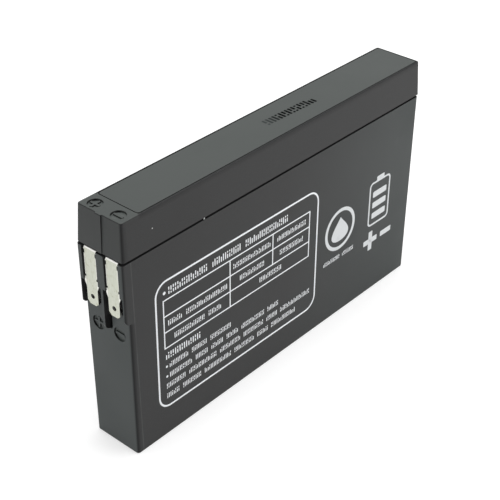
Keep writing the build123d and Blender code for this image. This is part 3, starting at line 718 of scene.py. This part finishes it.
def grid_faces(rows, columns, wrap_columns):
    """Quads of a grid of points, row after row. The last row joins the first, and the last
    column joins the first where that direction wraps."""
    row = np.arange(rows)[:, None]
    column = np.arange(columns if wrap_columns else columns - 1)[None, :]
    below = (row + 1) % rows
    right = (column + 1) % columns
    corners = [row * columns + column, row * columns + right,
               below * columns + right, below * columns + column]
    return np.stack([np.broadcast_to(c, (row.size, column.size)) for c in corners], axis=-1).reshape(-1, 4)


def pairs(u, w):
    """Two rows of numbers as points (n, 2). Either may be one number for all of them."""
    return np.stack(np.broadcast_arrays(u, w), axis=-1)


def on_printed_face(u, w, raised):
    """Points of the print's plane, turned by its slope and laid on the drafted wall, raised
    along minus Y."""
    z = w + PRINT_SLOPE * u
    return np.stack([u, printed_face_y(z) - raised, z], axis=-1)


# %% [markdown]
# A closed line such as the panel's rounded frame has no ends. Its profile has five points: both
# feet just inside the plastic, both shoulders a little under the ink's height, and a crest at it,
# because surface tension rounds wet ink.

# %% Lines of ink
PROFILE_ACROSS = np.array([-0.5, -0.42, 0.0, 0.42, 0.5])
PROFILE_RAISED = np.array([-INK_SINK, SHOULDER * INK_HEIGHT, INK_HEIGHT, SHOULDER * INK_HEIGHT, -INK_SINK])


def closed_ink_line(name, path, width, material):
    """A profile carried round a closed path: each point is the path's point plus the profile's
    offset along the path's normal, which is the tangent turned by a right angle."""
    ahead = np.roll(path, -1, axis=0) - np.roll(path, 1, axis=0)
    tangent = ahead / np.linalg.norm(ahead, axis=1, keepdims=True)
    normal = pairs(-tangent[:, 1], tangent[:, 0])
    plane = path[:, None, :] + width * PROFILE_ACROSS[None, :, None] * normal[:, None, :]
    points = on_printed_face(plane[..., 0], plane[..., 1], PROFILE_RAISED[None, :])
    faces = grid_faces(len(path), len(PROFILE_ACROSS), wrap_columns=True)
    return add_to_case(mesh_object(name, points.reshape(-1, 3), faces.tolist(), material))


def rounded_rectangle_path(left, right, low, high, radius, steps=12):
    """A closed path: four quarter circles, each of so many steps, joined by straight runs."""
    quarter = np.linspace(0, np.pi / 2, steps)
    middles = [(right - radius, high - radius), (left + radius, high - radius),
               (left + radius, low + radius), (right - radius, low + radius)]
    angles = [quarter + corner * np.pi / 2 for corner in range(4)]
    return np.concatenate([pairs(u + radius * np.cos(angle), w + radius * np.sin(angle))
                           for (u, w), angle in zip(middles, angles)])


# %% [markdown]
# All other figures are many small plates. Each plate has an outline of a few points, used three
# times: at the foot in the plastic, at the shoulder, and drawn in to the middle as the top. One
# call makes a whole row of them from arrays of centres and sizes, so a text line is one mesh.

# %% Plates of ink
INNER_RING = 0.45


def superellipse(power, count):
    """An outline between a rectangle and an ellipse: each coordinate of the unit circle is
    raised to a power below one, its sign kept."""
    angle = (np.arange(count) + 0.5) * 2 * np.pi / count
    c, s = np.cos(angle), np.sin(angle)
    return pairs(np.sign(c) * np.abs(c) ** power, np.sign(s) * np.abs(s) ** power)


def plate_set(name, outlines, material, lay=on_printed_face, height=INK_HEIGHT):
    """Thin plates from outlines, an array (plates, points, 2). The rings of a plate are its foot,
    its shoulder and a ring near its middle, and a last point closes the top."""
    count, ring = outlines.shape[:2]
    middle = outlines.mean(axis=1, keepdims=True)
    inner = middle + (outlines - middle) * INNER_RING
    plane = np.concatenate([outlines, outlines, inner, middle], axis=1)
    levels = [np.full(ring, -INK_SINK), np.full(ring, SHOULDER * height), np.full(ring + 1, height)]
    raised = np.broadcast_to(np.concatenate(levels), plane.shape[:2])
    points = lay(plane[..., 0], plane[..., 1], raised).reshape(-1, 3)
    step = np.arange(ring)
    after = (step + 1) % ring
    walls = np.concatenate([np.stack([k * ring + step, (k + 1) * ring + step, (k + 1) * ring + after,
                                      k * ring + after], axis=1) for k in range(2)])
    fan = np.stack([2 * ring + step, np.full(ring, 3 * ring), 2 * ring + after], axis=1)
    start = np.arange(count)[:, None, None] * (3 * ring + 1)
    quads = (walls[None] + start).reshape(-1, 4)
    triangles = (fan[None] + start).reshape(-1, 3)
    return add_to_case(mesh_object(name, points, quads.tolist() + triangles.tolist(), material))


def bars(centres, sizes, power=0.3, count=8):
    """Outlines of rounded bars from (n, 2) centres and (n, 2) full sizes."""
    return centres[:, None, :] + superellipse(power, count)[None] * sizes[:, None, :] / 2


# %% [markdown]
# The ink itself is a matt white with a cool tint. Screen print is never solid: the mesh leaves a
# fine pattern of thin places, and packing rubs some of it away. Here the thin places let the
# dark plastic show through as a colour, because the film hides it only where it is thick. Broad
# fields take less ink than thin lines do, so they are a shade greyer.

# %% White ink
def white_ink(name, light, dark):
    """A light shade, darkened at pinholes and rubbed places, with a slight relief."""
    material, tree, shader = new_material(name, Specular_IOR_Level=0.35)
    place = object_place(tree)
    thin = ramp(tree, noise(tree, place, 0.3 * MM, 3.0, 0.7), 0.63, 0.78)
    worn = ramp(tree, noise(tree, place, 9 * MM, 5.0, 0.75), 0.56, 0.8, 0.0, 0.3)
    share = largest(tree, product(tree, thin, 0.5), worn)
    feed(tree, shader, Base_Color=blend_colour(tree, share, light, dark),
         Roughness=ramp(tree, thin, 0.0, 1.0, 0.55, 0.7), Normal=bump(tree, thin, 0.01 * MM))
    return material


ink = white_ink("white ink", (0.9, 0.92, 0.94, 1), (0.4, 0.42, 0.44, 1))
field_ink = white_ink("white ink in fields", (0.7, 0.72, 0.73, 1), (0.36, 0.38, 0.4, 1))


# %% [markdown]
# The panel comes first: a rounded frame, and in it a table with a heading column and two value
# columns. The real panel is filled with a maker's wording, which this part doesn't carry. Its
# frame and table are plain ruled lines, so they stay, at the sizes measured on the face.

# %% The panel's frame and table
PANEL_LEFT, PANEL_RIGHT = -62.3 * MM, 17.2 * MM
PANEL_LOW, PANEL_HIGH = 11.3 * MM, 60.9 * MM
PANEL_RADIUS = 5.0 * MM
FRAME_LINE = 0.75 * MM
TABLE_LINE = 0.46 * MM
TABLE_LEFT, TABLE_RIGHT = -59.1 * MM, 12.7 * MM
TABLE_ROWS = (53.8 * MM, 47.6 * MM, 41.4 * MM, 35.2 * MM)
FIRST_DIVIDER, SECOND_DIVIDER = -28.4 * MM, -6.9 * MM

frame_path = rounded_rectangle_path(PANEL_LEFT, PANEL_RIGHT, PANEL_LOW, PANEL_HIGH, PANEL_RADIUS)
closed_ink_line("panel_frame", frame_path, FRAME_LINE, ink)

rules = [((TABLE_LEFT, w), (TABLE_RIGHT, w)) for w in TABLE_ROWS]
rules += [((u, TABLE_ROWS[0]), (u, TABLE_ROWS[-1])) for u in (TABLE_LEFT, FIRST_DIVIDER, TABLE_RIGHT)]
rules.append(((SECOND_DIVIDER, TABLE_ROWS[0]), (SECOND_DIVIDER, TABLE_ROWS[2])))
starts, ends = np.array(rules).transpose(1, 0, 2)
plate_set("panel_table", bars((starts + ends) / 2, np.abs(ends - starts) + TABLE_LINE, power=0.05), ink)
print("table lines:", len(rules))


# %% [markdown]
# Where the wording stood there are rows of plain marks. They keep the grey value and the rhythm
# of small print, and nothing can be read in them. A mark is two upright columns side by side, and
# each column is whole, short, or broken into blocks, so that no mark has the bends or rungs of a
# letter. A seeded generator picks the columns and the lengths of the words, so the result is the
# same in every run.

# %% Marks in place of letters
# Each stroke of a column is its middle and its length, in shares of the mark's height
WHOLE = [(0.0, 1.0)]
SHORT = [(-0.14, 0.72)]
HALVES = [(0.29, 0.42), (-0.29, 0.42)]
LONG_ABOVE = [(0.2, 0.6), (-0.38, 0.24)]
LONG_BELOW = [(0.38, 0.24), (-0.2, 0.6)]
COLUMN_KINDS = [np.array(kind) for kind in (WHOLE, WHOLE, SHORT, HALVES, LONG_ABOVE, LONG_BELOW)]
COLUMN_SHIFT, COLUMN_WIDTH = 0.32, 0.3
MARK_SHARE = 0.76
SHORTEST_WORD, LONGEST_WORD = 4, 9
marks_source = np.random.default_rng(7)


def marks_at(middles, width, height, column_share=COLUMN_WIDTH):
    """Centres and sizes of the strokes of one mark at each middle. A mark's two columns stand
    to both sides of its middle, and the kind of each column is drawn at random."""
    shift = np.array([COLUMN_SHIFT * width, 0.0])
    columns = np.concatenate([middles - shift, middles + shift])
    kinds = marks_source.integers(0, len(COLUMN_KINDS), size=len(columns))
    centres, sizes = [], []
    for kind, strokes in enumerate(COLUMN_KINDS):
        chosen = columns[kinds == kind]
        up = pairs(0.0, strokes[:, 0] * height)
        size = pairs(column_share * width, strokes[:, 1] * height)
        centres.append((chosen[:, None] + up[None]).reshape(-1, 2))
        sizes.append(np.tile(size, (len(chosen), 1)))
    return np.concatenate(centres), np.concatenate(sizes)


def word_places(places):
    """Which places of a row hold a mark. One place is empty after each word, but not so near
    the end that a short leftover would follow it."""
    lengths = marks_source.integers(SHORTEST_WORD, LONGEST_WORD + 1, size=places)
    gaps = np.cumsum(lengths + 1) - 1
    gaps = gaps[gaps < places - SHORTEST_WORD]
    return np.setdiff1d(np.arange(places), gaps)


def mark_row(left, right, low, height, pitch):
    """One row between two ends, its marks about a pitch apart, so that it fills the length."""
    places = int(round((right - left) / pitch))
    step = (right - left) / places
    middles = pairs(left + (word_places(places) + 0.5) * step, low + height / 2)
    return marks_at(middles, MARK_SHARE * step, height)


def print_rows(name, height, pitch, rows):
    """Several rows of marks of one height as one piece. A row is its left, its right and its foot."""
    made = [mark_row(left * MM, right * MM, low * MM, height * MM, pitch * MM) for left, right, low in rows]
    centres, sizes = (np.concatenate(arrays) for arrays in zip(*made))
    print(name, "has", len(centres), "strokes")
    return plate_set(name, bars(centres, sizes), ink)


# %% [markdown]
# The rows follow the real lines of print in length and place, in millimetres. A foot is given for
# the middle of the case, and the print's own slope moves it elsewhere.

# %% The rows of print
print_rows("panel_heading", 2.75, 2.0, [(-57.0, 0.9, 55.4)])
print_rows("table_strokes", 2.05, 1.6, [
    (-27.0, -8.0, 49.55), (-4.8, 10.7, 49.6),
    (-57.5, -29.7, 43.45), (-23.8, -11.2, 43.4), (-3.3, 9.4, 43.5),
    (-54.9, -32.7, 37.2), (-13.8, -2.1, 37.3)])
print_rows("note_heading", 2.55, 1.95, [(-59.1, -42.7, 30.6)])
print_rows("note_strokes", 2.05, 1.5, [
    (-57.5, -28.0, 26.75), (-57.5, -3.3, 22.7), (-59.1, 14.1, 18.7), (-59.1, 6.2, 14.6)])

DOT_PLACES = np.array([(-58.5, 56.6), (-58.6, 27.75), (-58.6, 23.7)]) * MM
DOT_SIZES = np.array([(1.2, 1.2), (0.9, 0.9), (0.9, 0.9)]) * MM
plate_set("panel_dots", bars(DOT_PLACES, DOT_SIZES, power=1.0, count=16), ink)


# %% [markdown]
# Beside the panel the real case carries symbols of its own. In their place stand generic figures
# of like size and weight, and the first is a drop in a ring with a short row of marks under it.

# %% A drop in a ring
DROP_MIDDLE = np.array([30.9, 38.1]) * MM
DROP_SIZE = 10.2 * MM
DROP_WIDTH_SHARE, DROP_POINT_POWER = 0.68, 1.5
RING_RADIUS = 8.0 * MM
RING_LINE = 1.5 * MM


def drop_outline(middle, size, count=64):
    """A drop: a circle whose upper half is drawn to a point. The width at each angle is the
    sine of the angle times a power of the sine of half the angle."""
    angle = np.arange(count) * 2 * np.pi / count
    across = DROP_WIDTH_SHARE * np.sin(angle) * np.sin(angle / 2) ** DROP_POINT_POWER
    up = 0.5 * np.cos(angle)
    return middle + size * pairs(across, up)


def circle_path(middle, radius, count=96):
    """A closed round path: the middle plus the radius times the cosine and the sine."""
    angle = np.arange(count) * 2 * np.pi / count
    return middle + radius * pairs(np.cos(angle), np.sin(angle))


plate_set("print_drop", drop_outline(DROP_MIDDLE, DROP_SIZE)[None], field_ink)
closed_ink_line("print_ring", circle_path(DROP_MIDDLE, RING_RADIUS), RING_LINE, field_ink)
print_rows("small_strokes", 1.75, 1.4, [(21.8, 39.7, 25.3)])


# %% [markdown]
# The other figures are an upright battery cell with three level bars, and a plus and a minus. All
# of them are bars, apart from the cell's rounded frame.

# %% A cell and two signs
CELL_LEFT, CELL_RIGHT = 48.4 * MM, 60.4 * MM
CELL_FOOT, CELL_TOP = 30.6 * MM, 48.9 * MM
CELL_LINE, CELL_CORNER = 0.85 * MM, 1.6 * MM
LEVEL_BARS = 3
LEVEL_START, LEVEL_PITCH = 3.9 * MM, 4.6 * MM
LEVEL_INSET, LEVEL_TALL = 1.8 * MM, 2.6 * MM
NUB_RISE, NUB_WIDTH, NUB_TALL = 1.1 * MM, 4.6 * MM, 1.9 * MM
PLUS_X, MINUS_X, SIGN_Z = 50.4 * MM, 60.1 * MM, 23.6 * MM
SIGN_LENGTH, SIGN_LINE = 8.4 * MM, 2.3 * MM
MINUS_SHARE = 0.8

cell_path = rounded_rectangle_path(CELL_LEFT, CELL_RIGHT, CELL_FOOT, CELL_TOP, CELL_CORNER)
closed_ink_line("print_cell", cell_path, CELL_LINE, field_ink)

cell_middle = (CELL_LEFT + CELL_RIGHT) / 2
level_width = CELL_RIGHT - CELL_LEFT - 2 * LEVEL_INSET
level_z = CELL_FOOT + LEVEL_START + LEVEL_PITCH * np.arange(LEVEL_BARS)
cell_places = pairs(cell_middle, np.append(level_z, CELL_TOP + NUB_RISE))
cell_sizes = np.array([(level_width, LEVEL_TALL)] * LEVEL_BARS + [(NUB_WIDTH, NUB_TALL)])
plate_set("print_levels", bars(cell_places, cell_sizes, power=0.2), field_ink)

sign_places = np.array([(PLUS_X, SIGN_Z), (PLUS_X, SIGN_Z), (MINUS_X, SIGN_Z)])
sign_sizes = np.array([(SIGN_LENGTH, SIGN_LINE), (SIGN_LINE, SIGN_LENGTH),
                       (SIGN_LENGTH * MINUS_SHARE, SIGN_LINE)])
plate_set("print_signs", bars(sign_places, sign_sizes, power=0.12), field_ink)


# %% [markdown]
# The stamp on the cover is pressed with a hot steel type, which leaves dark, sooty marks, firm at
# one end of the row and faint at the other. The real marks are a code, so the same plain marks
# as in the panel stand for them. They lie on the cover plate, so their plane is level and their
# height is added along Z.

# %% The hot stamp
STAMP_START, STAMP_PITCH, STAMP_MARKS = 0.2 * MM, 3.1 * MM, 8
STAMP_WIDTH, STAMP_TALL = 2.4 * MM, 3.6 * MM
STAMP_COLUMN = 0.42
STAMP_Y, STAMP_SLOPE = 0.6 * MM, -0.035
STAMP_RAISE = 0.004 * MM
SOOT = (0.002, 0.002, 0.002, 1)
FADED_SOOT = (0.07, 0.078, 0.077, 1)


def stamp_black():
    """Scorched plastic: dull black, paler in blotches and towards the faint end of the row."""
    material, tree, shader = new_material("stamp black", Specular_IOR_Level=0.02)
    place = object_place(tree)
    blotches = ramp(tree, noise(tree, place, 1.4 * MM, 3.0), 0.55, 0.8, 0.0, 0.4)
    faint = ramp(tree, parts(tree, place)[0], STAMP_START, STAMP_START + 3 * STAMP_PITCH, 0.6, 0.0)
    faded = largest(tree, blotches, faint)
    feed(tree, shader, Base_Color=blend_colour(tree, faded, SOOT, FADED_SOOT),
         Roughness=ramp(tree, faded, 0.0, 0.75, 0.85, 0.75),
         Normal=bump(tree, noise(tree, place, 0.3 * MM), 0.01 * MM))
    return material


def on_cover(u, v, raised):
    """Points of the top's plane, u along the case and v across it, raised along Z."""
    return np.stack([u, v, cover_high.z + raised], axis=-1)


stamp_u = STAMP_START + STAMP_PITCH * (np.arange(STAMP_MARKS) + 0.5)
stamp_v = STAMP_Y + STAMP_SLOPE * (stamp_u - STAMP_START)
stamp_centres, stamp_sizes = marks_at(pairs(stamp_u, stamp_v), STAMP_WIDTH, STAMP_TALL, STAMP_COLUMN)
plate_set("cover_stamp", bars(stamp_centres, stamp_sizes), stamp_black(),
          lay=on_cover, height=STAMP_RAISE)
print("stamp marks:", STAMP_MARKS)


# %% [markdown]
# Lid and container are glued, and a thread of glue has squeezed out across the seam groove on
# the printed side. It is a small bead: an ellipsoid whose surface is worked out from two angles,
# a little lumpy, bridging the groove. The same shape, much smaller, makes a speck on the lid.

# %% The bead of glue at the seam
BEAD_TURNS = 24
BEAD_RINGS = 12
GLUE_X = -39.9 * MM
GLUE_SIZE = (0.5 * MM, 0.64 * MM, 1.6 * MM)
GLUE_DEPTH = 0.36 * MM
SPECK_X, SPECK_Z = -62.0 * MM, 82.3 * MM
SPECK_SIZE = (0.45 * MM, 0.3 * MM, 0.4 * MM)
SPECK_DEPTH = 0.05 * MM


def bead(name, middle, size, lumps, material):
    """Points of an ellipsoid: the middle plus the half sizes times the sphere's point at two
    angles, its radius varied by a slow wave. The rings leave out the poles, which are two
    points of their own at the end of the list."""
    around = np.linspace(0, 2 * np.pi, BEAD_TURNS, endpoint=False)[:, None]
    up = np.linspace(0, np.pi, BEAD_RINGS + 2)[None, 1:-1]
    wave = 1 + lumps * np.sin(3 * around + 1.3) * np.sin(2 * up)
    sphere = np.stack([np.cos(around) * np.sin(up) * wave, np.sin(around) * np.sin(up) * wave,
                       np.cos(up) * wave], axis=-1)
    half = np.array(size) / 2
    body = np.array(middle) + sphere.reshape(-1, 3) * half
    poles = np.array(middle) + np.array([(0, 0, half[2]), (0, 0, -half[2])])
    quads = grid_faces(BEAD_TURNS, BEAD_RINGS, wrap_columns=False)[:, ::-1]
    first = np.arange(BEAD_TURNS) * BEAD_RINGS
    after = np.roll(first, -1)
    last = BEAD_RINGS - 1
    top = np.stack([first, after, np.full(BEAD_TURNS, len(body))], axis=1)
    low = np.stack([after + last, first + last, np.full(BEAD_TURNS, len(body) + 1)], axis=1)
    faces = quads.tolist() + top.tolist() + low.tolist()
    piece = mesh_object(name, np.concatenate([body, poles]), faces, material)
    piece.data.shade_smooth()
    return add_to_case(piece)


glue = mottled("dried glue", (0.5, 0.51, 0.51, 1), (0.75, 0.76, 0.76, 1), 0.5 * MM, 0.01 * MM, 0.3)
glue_middle = (GLUE_X, -half_width + GLUE_DEPTH, (seam_z + groove_top_z) / 2)
bead("glue_bead", glue_middle, GLUE_SIZE, 0.08, glue)
speck_middle = (SPECK_X, lid_face_y(SPECK_Z) + SPECK_DEPTH, SPECK_Z)
bead("plastic_speck", speck_middle, SPECK_SIZE, 0.1, glue)


# %% [markdown]
# The camera stands where the photographer's did: a long lens, to the left of the printed face on
# the terminal side, and well above the case. Azimuth turns it round the object, elevation lifts
# it, and a small roll tilts the horizon as in the photograph.

# %% Camera
CAMERA_PLACE = Vector((-268.24, -229.08, 273.79)) * MM
CAMERA_AZIMUTH = math.radians(-48.717)
CAMERA_ELEVATION = math.radians(33.581)
CAMERA_ROLL = math.radians(0.282)
LENS_PER_FRAME_WIDTH = 1209.26 / 500
SENSOR_WIDTH = 36.0

camera = bpy.data.objects.new("camera", bpy.data.cameras.new("camera"))
bpy.context.scene.collection.objects.link(camera)
bpy.context.scene.camera = camera
camera.data.sensor_width = SENSOR_WIDTH
camera.data.lens = LENS_PER_FRAME_WIDTH * SENSOR_WIDTH
camera.data.clip_start = 0.01
turn = Matrix.Rotation(CAMERA_AZIMUTH, 4, "Z") @ Matrix.Rotation(math.pi / 2 - CAMERA_ELEVATION, 4, "X")
camera.matrix_world = Matrix.Translation(CAMERA_PLACE) @ turn @ Matrix.Rotation(CAMERA_ROLL, 4, "Z")
print("lens", round(camera.data.lens, 2), "mm")

# %% [markdown]
# The photograph has a white ground and soft light, strongest from above. Three square area lamps
# give that: a wide one overhead, a smaller one in front of the printed face towards the far end,
# and one for the terminal end. The floor is a plain pale sheet that keeps a faint shadow.

# %% Lights
def area_lamp(name, place, target, size, power):
    """A square soft lamp that faces a point."""
    data = bpy.data.lights.new(name, "AREA")
    data.size = size
    data.energy = power
    lamp = bpy.data.objects.new(name, data)
    lamp.location = place
    lamp.rotation_mode = "QUATERNION"
    lamp.rotation_quaternion = (Vector(target) - Vector(place)).to_track_quat("-Z", "Y")
    bpy.context.scene.collection.objects.link(lamp)
    return lamp


case_middle = (0, 0, top_z / 2)
area_lamp("overhead", (0.1, 0.05, 1.1), case_middle, size=0.9, power=11.2)
area_lamp("front", (0.32, -0.5, 0.3), case_middle, size=0.4, power=1.75)
area_lamp("terminal side", (-1.1, -0.1, 0.45), case_middle, size=0.7, power=4.0)


# %% [markdown]
# The ground has to read as white without more light on the case. Light Path tells which ray asks:
# the rays that the camera or a mirror sends see a brighter ground and sky than the rays that
# gather light for the plastic.

# %% Floor and background
FLOOR_HALF = 3.0
FLOOR_GLOW = 0.45
AMBIENT = 0.32


def seen_directly(tree):
    """1 for rays from the camera, off gloss or through glass, and 0 for the rest."""
    path = tree.nodes.new("ShaderNodeLightPath")
    return largest(tree, path.outputs["Is Camera Ray"], path.outputs["Is Glossy Ray"],
                   path.outputs["Is Transmission Ray"])


def floor_material():
    """A matt pale sheet. For the camera and for mirror-like rays a little light is added to it,
    so that it reads as the white ground, while the shadow on it stays."""
    material, tree, shader = new_material("floor", Roughness=0.9, Specular_IOR_Level=0.1,
                                          Emission_Color=(1, 1, 1, 1))
    tint = noise(tree, object_place(tree), 0.4, 2.0)
    feed(tree, shader, Base_Color=blend_colour(tree, tint, (0.6, 0.6, 0.6, 1), (0.62, 0.62, 0.62, 1)),
         Emission_Strength=product(tree, seen_directly(tree), FLOOR_GLOW))
    return material


floor_points = np.array([(-1, -1, 0), (1, -1, 0), (1, 1, 0), (-1, 1, 0)]) * FLOOR_HALF
floor = mesh_object("floor", floor_points, [[0, 1, 2, 3]], floor_material())

world = bpy.data.worlds.new("studio")
bpy.context.scene.world = world
world.use_nodes = True
sky = world.node_tree
background = sky.nodes["Background"]
background.inputs["Color"].default_value = (1, 1, 1, 1)
strength = ramp(sky, seen_directly(sky), 0.0, 1.0, AMBIENT, 1.0, smooth=False)
sky.links.new(strength, background.inputs["Strength"])

bpy.context.scene.view_settings.view_transform = "Standard"
